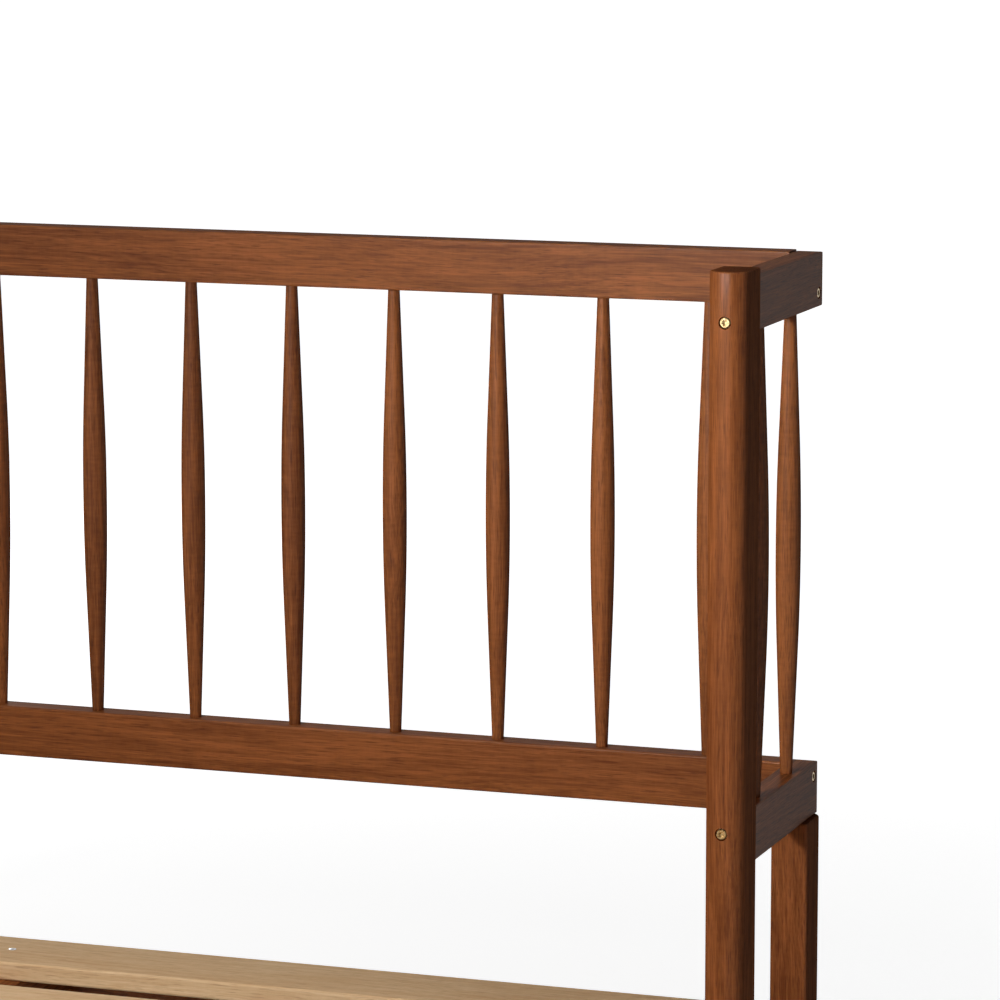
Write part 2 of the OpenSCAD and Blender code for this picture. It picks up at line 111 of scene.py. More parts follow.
def stretched_noise(tree, vector, along, across, detail, roughness, distortion=0.0):
    """Noise drawn out along the grain, which is X here. Along and across are repeats in a metre."""
    scaled = put(tree, "ShaderNodeMapping", {"vector_type": "POINT"}, Vector=vector,
                 Scale=(along, across, across))
    noise = tree.nodes.new("ShaderNodeTexNoise")
    noise.inputs["Scale"].default_value = 1.0
    noise.inputs["Detail"].default_value = detail
    noise.inputs["Roughness"].default_value = roughness
    noise.inputs["Distortion"].default_value = distortion
    tree.links.new(scaled.outputs[0], noise.inputs["Vector"])
    return noise.outputs["Fac"]


def make_grain_group():
    """Rubberwood figure: broad stain patches, growth streaks, fibres and short open pores."""
    group = new_group(
        "rubberwood figure",
        [
            ("Vector", "NodeSocketVector", None),
            ("Light", "NodeSocketColor", (0.3, 0.15, 0.08, 1)),
            ("Dark", "NodeSocketColor", (0.1, 0.04, 0.02, 1)),
            ("Pore", "NodeSocketColor", (0.03, 0.012, 0.006, 1)),
            ("Tone", "NodeSocketFloat", 0.0),
            ("Contrast", "NodeSocketFloat", 1.0),
            ("Curl", "NodeSocketFloat", 0.2),
            ("End Grain", "NodeSocketFloat", 0.0),
        ],
        [("Color", "NodeSocketColor"), ("Roughness", "NodeSocketFloat"), ("Height", "NodeSocketFloat")],
    )
    given = group.nodes.new("NodeGroupInput")
    result = group.nodes.new("NodeGroupOutput")

    # The fibres wander a little from the straight, so everything finer follows the same sway
    sway = stretched_noise(group, given.outputs["Vector"], 1.3, 5.0, 2, 0.5)
    lean = math_node(group, "MULTIPLY", math_node(group, "SUBTRACT", sway, 0.5), 0.05)
    offset = put(group, "ShaderNodeCombineXYZ", Y=lean, Z=lean)
    bent = put(group, "ShaderNodeVectorMath", {"operation": "ADD"},
               i0=given.outputs["Vector"], i1=offset.outputs[0])
    line = bent.outputs[0]

    patches = stretched_noise(group, line, 3.2, 20.0, 3, 0.55)
    streaks = stretched_noise(group, line, 6.0, 190.0, 3, 0.6, 0.2)
    fine = stretched_noise(group, line, 13.0, 560.0, 3, 0.75)
    fibre = stretched_noise(group, line, 40.0, 2100.0, 2, 0.5)
    pores = stretched_noise(group, line, 55.0, 1250.0, 1, 0.4)
    curl = stretched_noise(group, line, 330.0, 70.0, 1, 0.5)

    # Each layer of the figure swings about its middle, and each has its own share in the whole
    figure = 0.5
    shares = ((patches, 1.1), (streaks, 1.5), (fine, 2.1), (fibre, 0.8), (curl, given.outputs["Curl"]))
    for layer, share in shares:
        swing = math_node(group, "SUBTRACT", layer, 0.5)
        figure = math_node(group, "MULTIPLY_ADD", swing, share, figure)
    centred = math_node(group, "SUBTRACT", figure, 0.5)
    figure = math_node(group, "MULTIPLY_ADD", centred, given.outputs["Contrast"], 0.5)
    figure = math_node(group, "ADD", figure, given.outputs["Tone"], clamp=True)

    colour = mix_colour(group, figure, given.outputs["Dark"], given.outputs["Light"])
    pore_mask = ramp(group, pores, 0.56, 0.72)
    pore_share = math_node(group, "MULTIPLY", pore_mask, 0.5)
    colour = mix_colour(group, pore_share, colour, given.outputs["Pore"])
    end_share = math_node(group, "MULTIPLY", given.outputs["End Grain"], 0.45)
    colour = mix_colour(group, end_share, colour, given.outputs["Pore"])
    group.links.new(colour, result.inputs["Color"])

    rough = math_node(group, "MULTIPLY_ADD", math_node(group, "SUBTRACT", streaks, 0.5), 0.16, 0.40)
    rough = math_node(group, "MULTIPLY_ADD", pore_mask, 0.12, rough)
    group.links.new(rough, result.inputs["Roughness"])
    height = math_node(group, "MULTIPLY_ADD", fine, 0.5, math_node(group, "MULTIPLY", pore_mask, -0.6))
    height = math_node(group, "MULTIPLY_ADD", fibre, 0.2, height)
    group.links.new(height, result.inputs["Height"])
    return group


def make_edge_wear_and_highlight_group():
    """Mask of a piece's edges, broken up where hands and bedding have rubbed the finish. On the wood it
    makes the edges lighter, which is partly that rubbed finish and partly a painted highlight along the
    eased edges.
    """
    group = new_group(
        "edge wear and highlight",
        [("Width", "NodeSocketFloat", 0.003), ("Break", "NodeSocketFloat", 30.0)],
        [("Mask", "NodeSocketFloat")],
    )
    given = group.nodes.new("NodeGroupInput")
    result = group.nodes.new("NodeGroupOutput")
    bevel = put(group, "ShaderNodeBevel", {"samples": 6}, Radius=given.outputs["Width"])
    facing = group.nodes.new("ShaderNodeNewGeometry")
    dot = put(group, "ShaderNodeVectorMath", {"operation": "DOT_PRODUCT"},
              i0=bevel.outputs[0], i1=facing.outputs["Normal"])
    edge = ramp(group, dot.outputs["Value"], 0.80, 0.995, 1.0, 0.0)
    place = group.nodes.new("ShaderNodeTexCoord")
    noise = group.nodes.new("ShaderNodeTexNoise")
    noise.inputs["Detail"].default_value = 4
    group.links.new(place.outputs["Object"], noise.inputs["Vector"])
    group.links.new(given.outputs["Break"], noise.inputs["Scale"])
    patchy = ramp(group, noise.outputs["Fac"], 0.35, 0.65, 0.35, 1.0)
    group.links.new(math_node(group, "MULTIPLY", edge, patchy), result.inputs["Mask"])
    return group


grain_group = make_grain_group()
edge_wear_and_highlight_group = make_edge_wear_and_highlight_group()
ALONG_X, ALONG_Y, ALONG_Z = (0.0, 0.0, 0.0), (0.0, 0.0, -math.pi / 2), (0.0, math.pi / 2, 0.0)
GRAIN_AXIS = {ALONG_X: (1.0, 0.0, 0.0), ALONG_Y: (0.0, 1.0, 0.0), ALONG_Z: (0.0, 0.0, 1.0)}


LACQUER_ROUGHNESS = 0.32
# Edges are made lighter partly as rubbed finish and partly as a painted highlight, the bright line of light
# along eased edges.
PALER_WEAR_AND_HIGHLIGHT = (1.7, 1.6, 1.5, 1)
RUBBED_SMOOTHER = 0.08
PIECE_SPREAD_M = 7.3
PIECE_TONE_SPREAD = 0.3
GRAIN_DEPTH_M = 0.0004


def wood(name, turn, light, dark, pore, tone=0.0, contrast=1.0, rub_and_highlight=0.3, curl=0.2, lacquer=0.2,
         lacquer_aslant=0.2, piece_tone=None):
    """Stained or bare timber, its grain turned to the way that the piece was cut."""
    material = bpy.data.materials.new(name)
    material.use_nodes = True
    tree = material.node_tree
    shader = tree.nodes["Principled BSDF"]
    place = tree.nodes.new("ShaderNodeTexCoord")
    turned = put(tree, "ShaderNodeMapping", {"vector_type": "POINT"}, Vector=place.outputs["Object"],
                 Rotation=turn)
    vector = turned.outputs[0]
    figure = tree.nodes.new("ShaderNodeGroup")
    figure.node_tree = grain_group
    figure.inputs["Light"].default_value = (*light, 1)
    figure.inputs["Dark"].default_value = (*dark, 1)
    figure.inputs["Pore"].default_value = (*pore, 1)
    figure.inputs["Contrast"].default_value = contrast
    figure.inputs["Tone"].default_value = tone
    figure.inputs["Curl"].default_value = curl
    if piece_tone:
        own = tree.nodes.new("ShaderNodeAttribute")
        own.attribute_name = piece_tone
        apart = math_node(tree, "MULTIPLY", own.outputs["Fac"], PIECE_SPREAD_M)
        spread = put(tree, "ShaderNodeCombineXYZ", X=apart)
        moved = put(tree, "ShaderNodeVectorMath", {"operation": "ADD"}, i0=vector, i1=spread.outputs[0])
        vector = moved.outputs[0]
        centred = math_node(tree, "SUBTRACT", own.outputs["Fac"], 0.5)
        own_tone = math_node(tree, "MULTIPLY_ADD", centred, PIECE_TONE_SPREAD, tone)
        tree.links.new(own_tone, figure.inputs["Tone"])
    tree.links.new(vector, figure.inputs["Vector"])
    across = put(tree, "ShaderNodeVectorMath", {"operation": "DOT_PRODUCT"},
                 i0=place.outputs["Normal"], i1=GRAIN_AXIS[turn])
    cut_end = ramp(tree, math_node(tree, "ABSOLUTE", across.outputs["Value"]), 0.75, 0.95)
    tree.links.new(cut_end, figure.inputs["End Grain"])
    edge = tree.nodes.new("ShaderNodeGroup")
    edge.node_tree = edge_wear_and_highlight_group
    # Lighter edges: partly rubbed finish, partly a painted highlight along the eased edges.
    wear_and_highlight = math_node(tree, "MULTIPLY", edge.outputs["Mask"], rub_and_highlight)
    paler_wear_and_highlight = mix_colour(tree, 1.0, figure.outputs["Color"], PALER_WEAR_AND_HIGHLIGHT, "MULTIPLY")
    colour = mix_colour(tree, wear_and_highlight, figure.outputs["Color"], paler_wear_and_highlight)
    tree.links.new(colour, shader.inputs["Base Color"])
    rough = math_node(tree, "MULTIPLY_ADD", wear_and_highlight, -RUBBED_SMOOTHER, figure.outputs["Roughness"])
    tree.links.new(rough, shader.inputs["Roughness"])
    bump = tree.nodes.new("ShaderNodeBump")
    bump.inputs["Strength"].default_value = 0.25
    bump.inputs["Distance"].default_value = GRAIN_DEPTH_M
    tree.links.new(figure.outputs["Height"], bump.inputs["Height"])
    tree.links.new(bump.outputs["Normal"], shader.inputs["Normal"])
    shader.inputs["Specular IOR Level"].default_value = 0.0
    shader.inputs["Coat Roughness"].default_value = LACQUER_ROUGHNESS
    # The lacquer shines on faces seen square on, and its haze is weaker on faces seen aslant
    facing = put(tree, "ShaderNodeLayerWeight", Blend=0.5)
    thin = ramp(tree, facing.outputs["Facing"], 0.15, 0.66, lacquer, lacquer_aslant)
    matt = ramp(tree, facing.outputs["Facing"], 0.68, 0.88, 1.0, 0.45)
    tree.links.new(math_node(tree, "MULTIPLY", thin, matt), shader.inputs["Coat Weight"])
    return material


POST_LIGHT = (0.30, 0.094, 0.027)
POST_DARK = (0.135, 0.037, 0.009)
WALNUT_LIGHT = (0.28, 0.090, 0.026)
WALNUT_DARK = (0.115, 0.033, 0.009)
WALNUT_PORE = (0.040, 0.012, 0.005)
post_wood = wood("walnut stain, grain upright", ALONG_Z, POST_LIGHT, POST_DARK, WALNUT_PORE,
                 lacquer=0.2, lacquer_aslant=0.03)


def dress(material, *names):
    """Gives a node of the frame a finish of its own."""
    for name in names:
        slots = nodes[name].material_slots
        for slot in slots:
            slot.material = material


POST_CORNER_R = 0.0155
POST_BACK_R = 0.0028
POST_EASE = 0.0022
POST_BACK_STEPS = 5
POST_CORNER_STEPS = 20
EASE_STEPS = 5
COUNTERBORE_R = 0.0058
COUNTERBORE_DEPTH = 0.0065
SHARP_ANGLE = math.radians(35)


def post_outline(low, high, inset):
    """Section of a post, with large corners at its front and small ones at its flat back."""
    corners = (
        (high.x - POST_BACK_R, high.y - POST_BACK_R, POST_BACK_R, POST_BACK_STEPS),
        (low.x + POST_BACK_R, high.y - POST_BACK_R, POST_BACK_R, POST_BACK_STEPS),
        (low.x + POST_CORNER_R, low.y + POST_CORNER_R, POST_CORNER_R, POST_CORNER_STEPS),
        (high.x - POST_CORNER_R, low.y + POST_CORNER_R, POST_CORNER_R, POST_CORNER_STEPS),
    )
    points = []
    for corner, (x, y, radius, steps) in enumerate(corners):
        for step in range(steps + 1):
            angle = math.radians(90 * (corner + step / steps))
            reach = radius - inset
            points.append((x + reach * math.cos(angle), y + reach * math.sin(angle)))
    return points


def shape_post(name, node, bores):
    """Post with rounded corners and eased ends, and a counterbore at each of the given places."""
    low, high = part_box(node)
    rings = []
    for step in range(EASE_STEPS + 1):
        angle = math.radians(90 * step / EASE_STEPS)
        rings.append((POST_EASE * (1 - math.cos(angle)), POST_EASE * (1 - math.sin(angle))))
    heights = [(low.z + rise, inset) for rise, inset in rings]
    heights += [(high.z - rise, inset) for rise, inset in reversed(rings)]
    shape = bmesh.new()
    rows = []
    for z, inset in heights:
        rows.append([shape.verts.new((x, y, z)) for x, y in post_outline(low, high, inset)])
    count = len(rows[0])
    for lower, upper in zip(rows, rows[1:]):
        for i in range(count):
            shape.faces.new((lower[i], lower[(i + 1) % count], upper[(i + 1) % count], upper[i]))
    shape.faces.new(list(reversed(rows[0])))
    shape.faces.new(rows[-1])
    mesh = bpy.data.meshes.new(name)
    shape.to_mesh(mesh)
    shape.free()
    post = bpy.data.objects.new(name, mesh)
    bpy.context.scene.collection.objects.link(post)

    drills = bmesh.new()
    for x, y, z in bores:
        turned = Matrix.Translation((x, y, z)) @ Matrix.Rotation(math.pi / 2, 4, "X")
        bmesh.ops.create_cone(drills, cap_ends=True, segments=48, radius1=COUNTERBORE_R,
                              radius2=COUNTERBORE_R, depth=2 * COUNTERBORE_DEPTH, matrix=turned)
    drill_mesh = bpy.data.meshes.new(name + "_bores")
    drills.to_mesh(drill_mesh)
    drills.free()
    drill = bpy.data.objects.new(name + "_bores", drill_mesh)
    bpy.context.scene.collection.objects.link(drill)
    cut = post.modifiers.new("counterbores", "BOOLEAN")
    cut.operation = "DIFFERENCE"
    cut.solver = "EXACT"
    cut.object = drill
    bpy.context.view_layer.update()
    bored = bpy.data.meshes.new_from_object(post.evaluated_get(bpy.context.evaluated_depsgraph_get()))
    post.modifiers.clear()
    post.data = bored
    bpy.data.objects.remove(drill)
    bored.shade_smooth()
    bored.set_sharp_from_angle(angle=SHARP_ANGLE)
    bored.materials.clear()
    bored.materials.append(post_wood)
    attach(post, "bed_frame")
    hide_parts(node)


TOP_BOLT_Z = 0.9605
MIDDLE_BOLT_Z = 0.4955
BOARD_BOLT_Z = (0.283, 0.197)
for side in ("left", "right"):
    low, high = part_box("head_post_" + side)
    x = (low.x + high.x) / 2
    bores = [(x, low.y, TOP_BOLT_Z), (x, low.y, MIDDLE_BOLT_Z)]
    bores += [(x, high.y, z) for z in BOARD_BOLT_Z]
    shape_post("rounded_head_post_" + side, "head_post_" + side, bores)
dress(post_wood, "foot_leg_left", "foot_leg_right", "rear_leg_left", "rear_leg_right")


# Rear rails of the headboard, and the base rail that ties the rear legs.
# Each is a planed board of the same wood with its long edges eased, the grain along it.
rear_rail_wood = wood("walnut stain, grain across the bed", ALONG_X, WALNUT_LIGHT, WALNUT_DARK, WALNUT_PORE)
dress(rear_rail_wood, "headboard_top_rail", "headboard_mid_rail", "headboard_base_rail", "foot_board")


# Wing rails, side boards and the ledgers that carry the slats: boards of the same wood, planed and
# eased in the same way, with the grain along the bed. Bolts and dowels hold their ends.
side_wood = wood("walnut stain, grain along the bed", ALONG_Y, WALNUT_LIGHT, WALNUT_DARK, WALNUT_PORE)
for side in ("left", "right"):
    dress(side_wood, "wing_top_rail_" + side, "wing_mid_rail_" + side, "wing_base_rail_" + side)
    dress(side_wood, "side_board_" + side, "slat_ledger_" + side)


# Spindles: turned on a lathe to a long double taper, with a round tenon at each end.
# Each is glued into a bore in the rail above it and the rail below it.
SPINDLE_END_D = 0.0114
SPINDLE_MID_D = 0.0238
SPINDLE_TAPER_L = 0.122
TENON_L = 0.016
TENON_D = 0.0096
TURNED_INTO_BORE = 0.0015
SPINDLE_SIDES = 40
SPINDLE_ROWS = 118
SPINDLE_SEED = 7
rear_spindles = ["rear_spindle_%02d" % number for number in range(1, 15)]
wing_spindles = []
for side in ("left", "right"):
    wing_spindles += ["wing_spindle_%s_%s" % (side, end) for end in ("rear", "front")]


def new_tree(name, inputs):
    """Geometry tree with named inputs after its geometry."""
    tree = bpy.data.node_groups.new(name, "GeometryNodeTree")
    tree.interface.new_socket("Geometry", in_out="INPUT", socket_type="NodeSocketGeometry")
    for label, kind, value in inputs:
        socket = tree.interface.new_socket(label, in_out="INPUT", socket_type=kind)
        socket.default_value = value
    tree.interface.new_socket("Geometry", in_out="OUTPUT", socket_type="NodeSocketGeometry")
    return tree


def places_mesh(name, places):
    mesh = bpy.data.meshes.new(name)
    mesh.from_pydata(places, [], [])
    piece = bpy.data.objects.new(name, mesh)
    bpy.context.scene.collection.objects.link(piece)
    return piece


def grow(piece, tree, values):
    """Runs the tree on the piece and leaves its result as a plain mesh."""
    modifier = piece.modifiers.new(tree.name, "NODES")
    modifier.node_group = tree
    for item in tree.interface.items_tree:
        if item.item_type == "SOCKET" and item.in_out == "INPUT" and item.name in values:
            modifier[item.identifier] = values[item.name]
    bpy.context.view_layer.update()
    graph = bpy.context.evaluated_depsgraph_get()
    grown = bpy.data.meshes.new_from_object(piece.evaluated_get(graph))
    piece.modifiers.clear()
    piece.data = grown
    return piece


def scatter(tree, points, shape, material, seed):
    """One turned copy of the shape on each point, with a number of its own for its grain."""
    turn = put(tree, "FunctionNodeRandomValue", {"data_type": "FLOAT"}, Seed=seed)
    turn.inputs[2].default_value = 0.0
    turn.inputs[3].default_value = 2 * math.pi
    spin = put(tree, "ShaderNodeCombineXYZ", Z=turn.outputs[1])
    copies = put(tree, "GeometryNodeInstanceOnPoints", Points=points, Instance=shape)
    tree.links.new(spin.outputs[0], copies.inputs["Rotation"])
    figure = put(tree, "FunctionNodeRandomValue", {"data_type": "FLOAT"}, Seed=seed + 1)
    figure.inputs[2].default_value = 0.0
    figure.inputs[3].default_value = 1.0
    stored = put(tree, "GeometryNodeStoreNamedAttribute", {"data_type": "FLOAT", "domain": "INSTANCE"},
                 Geometry=copies.outputs[0])
    stored.inputs["Name"].default_value = "own_figure"
    tree.links.new(figure.outputs[1], stored.inputs["Value"])
    real = put(tree, "GeometryNodeRealizeInstances", Geometry=stored.outputs[0])
    finished = put(tree, "GeometryNodeSetMaterial", Geometry=real.outputs[0])
    finished.inputs["Material"].default_value = material
    return finished.outputs[0]


def make_spindle_tree(material):
    tree = new_tree(
        "turned spindles",
        [
            ("Length", "NodeSocketFloat", 0.439),
            ("End Diameter", "NodeSocketFloat", 0.0114),
            ("Middle Diameter", "NodeSocketFloat", 0.0238),
            ("Taper Length", "NodeSocketFloat", 0.122),
            ("Tenon Length", "NodeSocketFloat", 0.016),
            ("Tenon Diameter", "NodeSocketFloat", 0.0096),
        ],
    )
    given = tree.nodes.new("NodeGroupInput")
    result = tree.nodes.new("NodeGroupOutput")
    length = given.outputs["Length"]
    whole = math_node(tree, "MULTIPLY_ADD", given.outputs["Tenon Length"], 2.0, length)
    blank = put(tree, "GeometryNodeMeshCylinder", {"fill_type": "NGON"}, Vertices=SPINDLE_SIDES,
                Radius=1.0, Depth=whole)
    blank.inputs["Side Segments"].default_value = SPINDLE_ROWS
    here = tree.nodes.new("GeometryNodeInputPosition")
    split = put(tree, "ShaderNodeSeparateXYZ", Vector=here.outputs[0])
    raised = math_node(tree, "MULTIPLY_ADD", whole, 0.5, split.outputs["Z"])
    height = math_node(tree, "SUBTRACT", raised, given.outputs["Tenon Length"])
    from_end = math_node(tree, "MINIMUM", height, math_node(tree, "SUBTRACT", length, height))
    beyond_taper = math_node(tree, "SUBTRACT", from_end, given.outputs["Taper Length"])
    past = math_node(tree, "MAXIMUM", beyond_taper, 0.0)
    half = math_node(tree, "MULTIPLY", length, 0.5)
    swell = math_node(tree, "SUBTRACT", given.outputs["Middle Diameter"], given.outputs["End Diameter"])
    slope = math_node(tree, "DIVIDE", swell, math_node(tree, "ADD", half, given.outputs["Taper Length"]))
    half_belly = math_node(tree, "SUBTRACT", half, given.outputs["Taper Length"])
    belly = math_node(tree, "MULTIPLY", half_belly, 2.0)
    rounding = math_node(tree, "DIVIDE", math_node(tree, "MULTIPLY", past, past), belly)
    run = math_node(tree, "MULTIPLY", slope, math_node(tree, "SUBTRACT", from_end, rounding))
    turned = math_node(tree, "MULTIPLY_ADD", given.outputs["End Diameter"], 0.5, run)
    tenon = math_node(tree, "MULTIPLY", given.outputs["Tenon Diameter"], 0.5)
    inside = math_node(tree, "GREATER_THAN", from_end, -TURNED_INTO_BORE)
    step = math_node(tree, "SUBTRACT", turned, tenon)
    radius = math_node(tree, "MULTIPLY_ADD", inside, step, tenon)
    placed = put(
        tree,
        "ShaderNodeCombineXYZ",
        X=math_node(tree, "MULTIPLY", split.outputs["X"], radius),
        Y=math_node(tree, "MULTIPLY", split.outputs["Y"], radius),
        Z=raised,
    )
    lathe = put(tree, "GeometryNodeSetPosition", Geometry=blank.outputs["Mesh"], Position=placed.outputs[0])
    smooth = put(tree, "GeometryNodeSetShadeSmooth", Geometry=lathe.outputs[0])
    shape = scatter(tree, given.outputs["Geometry"], smooth.outputs[0], material, SPINDLE_SEED)
    tree.links.new(shape, result.inputs["Geometry"])
    return tree


spindle_wood = wood("walnut stain, turned", ALONG_Z, WALNUT_LIGHT, WALNUT_DARK, WALNUT_PORE, tone=0.05,
                    curl=0.45, lacquer=0.28, lacquer_aslant=0.02, piece_tone="own_figure")
spindle_tree = make_spindle_tree(spindle_wood)


def turn_spindles(name, members):
    places = []
    for member in members:
        low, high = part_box(member)
        places.append(((low.x + high.x) / 2, (low.y + high.y) / 2, low.z))
    length = high.z - low.z - 2 * TENON_L
    piece = places_mesh(name, places)
    grow(
        piece,
        spindle_tree,
        {
            "Length": length,
            "End Diameter": SPINDLE_END_D,
            "Middle Diameter": SPINDLE_MID_D,
            "Taper Length": SPINDLE_TAPER_L,
            "Tenon Length": TENON_L,
            "Tenon Diameter": TENON_D,
        },
    )
    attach(piece, "bed_frame")
    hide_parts(*members)


turn_spindles("rear_spindles", rear_spindles)
turn_spindles("wing_spindles", wing_spindles)


# Slats: planed pine boards with eased edges, left bare. They lie across the ledgers and the centre
# beam and are screwed down.
slat_names = ["slat_%02d" % number for number in range(1, 13)]
PINE_LIGHT = (0.72, 0.52, 0.31)
PINE_DARK = (0.56, 0.34, 0.17)
PINE_PORE = (0.36, 0.20, 0.10)
slat_wood = wood("bare pine slats", ALONG_X, PINE_LIGHT, PINE_DARK, PINE_PORE, contrast=0.8, rub_and_highlight=0.15,
                 lacquer=0.1, lacquer_aslant=0.03)
dress(slat_wood, *slat_names)


METAL_EDGE_WIDTH = 0.0006
METAL_DULLER = 0.62


def make_metal(name, colour, roughness):
    """Plated metal, unevenly dulled, and brighter where its edges are rubbed."""
    material = bpy.data.materials.new(name)
    material.use_nodes = True
    tree = material.node_tree
    shader = tree.nodes["Principled BSDF"]
    place = tree.nodes.new("ShaderNodeTexCoord")
    noise = put(tree, "ShaderNodeTexNoise", Vector=place.outputs["Object"], Scale=420.0, Detail=5.0)
    dull = tuple(part * METAL_DULLER for part in colour)
    wear_and_highlight = mix_colour(tree, ramp(tree, noise.outputs["Fac"], 0.35, 0.7), (*colour, 1), (*dull, 1))
    edge = tree.nodes.new("ShaderNodeGroup")
    edge.node_tree = edge_wear_and_highlight_group
    edge.inputs["Width"].default_value = METAL_EDGE_WIDTH
    bright = mix_colour(tree, 1.0, wear_and_highlight, (1.25, 1.25, 1.25, 1), "MULTIPLY")
    tree.links.new(mix_colour(tree, edge.outputs["Mask"], wear_and_highlight, bright), shader.inputs["Base Color"])
    shader.inputs["Metallic"].default_value = 1.0
    uneven = ramp(tree, noise.outputs["Fac"], 0.3, 0.7, roughness - 0.07, roughness + 0.1)
    tree.links.new(uneven, shader.inputs["Roughness"])
    return material


# Slat screws: zinc-plated wood screws with a raised countersunk head and a cross recess.
# Two hold each end of a slat to its ledger, and one holds its middle to the centre beam.
SCREW_SEED = 11
SCREW_SUNK = 0.0006
CROWN_FALL = 0.65


def make_screw_tree(material):
    tree = new_tree(
        "slat screws",
        [
            ("Head Diameter", "NodeSocketFloat", 0.0078),
            ("Head Rise", "NodeSocketFloat", 0.0010),
            ("Recess Length", "NodeSocketFloat", 0.0048),
            ("Recess Width", "NodeSocketFloat", 0.0011),
        ],
    )
    given = tree.nodes.new("NodeGroupInput")
    result = tree.nodes.new("NodeGroupOutput")
    rise = given.outputs["Head Rise"]
    blank = put(tree, "GeometryNodeMeshCylinder", {"fill_type": "TRIANGLE_FAN"}, Vertices=20,
                Radius=1.0, Depth=1.0)
    blank.inputs["Fill Segments"].default_value = 3
    here = tree.nodes.new("GeometryNodeInputPosition")
    split = put(tree, "ShaderNodeSeparateXYZ", Vector=here.outputs[0])
    flat = put(tree, "ShaderNodeCombineXYZ", X=split.outputs["X"], Y=split.outputs["Y"])
    out = put(tree, "ShaderNodeVectorMath", {"operation": "LENGTH"}, i0=flat.outputs[0])
    squared = math_node(tree, "MULTIPLY", out.outputs["Value"], out.outputs["Value"])
    crown = math_node(tree, "MULTIPLY", rise, math_node(tree, "MULTIPLY_ADD", squared, -CROWN_FALL, 1.0))
    upper = math_node(tree, "GREATER_THAN", split.outputs["Z"], 0.0)
    sunk = math_node(tree, "MULTIPLY", math_node(tree, "SUBTRACT", 1.0, upper), -SCREW_SUNK)
    radius = math_node(tree, "MULTIPLY", given.outputs["Head Diameter"], 0.5)
    placed = put(
        tree,
        "ShaderNodeCombineXYZ",
        X=math_node(tree, "MULTIPLY", split.outputs["X"], radius),
        Y=math_node(tree, "MULTIPLY", split.outputs["Y"], radius),
        Z=math_node(tree, "MULTIPLY_ADD", crown, upper, sunk),
    )
    head = put(tree, "GeometryNodeSetPosition", Geometry=blank.outputs["Mesh"], Position=placed.outputs[0])
    cut = put(tree, "GeometryNodeMeshBoolean", {"operation": "DIFFERENCE"})
    tree.links.new(head.outputs[0], cut.inputs["Mesh 1"])
    depth = math_node(tree, "MULTIPLY", rise, 1.7)
    for long_side, short_side in (("X", "Y"), ("Y", "X")):
        sides = {long_side: given.outputs["Recess Length"], short_side: given.outputs["Recess Width"]}
        size = put(tree, "ShaderNodeCombineXYZ", Z=depth, **sides)
        slot = put(tree, "GeometryNodeMeshCube", Size=size.outputs[0])
        lift = put(tree, "ShaderNodeCombineXYZ", Z=rise)
        raised = put(tree, "GeometryNodeTransform", Geometry=slot.outputs["Mesh"],
                     Translation=lift.outputs[0])
        tree.links.new(raised.outputs[0], cut.inputs["Mesh 2"])
    screws = scatter(tree, given.outputs["Geometry"], cut.outputs["Mesh"], material, SCREW_SEED)
    tree.links.new(screws, result.inputs[0])
    return tree


zinc = make_metal("zinc plate", (0.62, 0.63, 0.65), 0.32)
ledger_low, ledger_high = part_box("slat_ledger_right")
LEDGER_X = (ledger_low.x + ledger_high.x) / 2
SCREW_PAIR = 0.046
screw_places = []
for slat in slat_names:
    low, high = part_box(slat)
    middle = (low.y + high.y) / 2
    screw_places.append((0.0, middle, high.z))
    for x in (-LEDGER_X, LEDGER_X):
        screw_places += [(x, middle - SCREW_PAIR / 2, high.z), (x, middle + SCREW_PAIR / 2, high.z)]
slat_screws = grow(places_mesh("slat_screws", screw_places), make_screw_tree(zinc), {})
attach(slat_screws, "bed_frame")


# Centre beam, which carries the slats' middles, and its two turned legs. They are of the same stained
# wood, and each leg's tenon is glued up into the beam.
dress(side_wood, "centre_beam")
dress(post_wood, "centre_leg_head", "centre_leg_foot")


# Levellers: a zinc-plated M8 stud with a hexagonal collar, screwed up into each centre leg,
# on a moulded plastic pad that takes the floor. The thread is rolled, with a pitch of 1.25 mm.
ROWS_PER_PITCH = 8


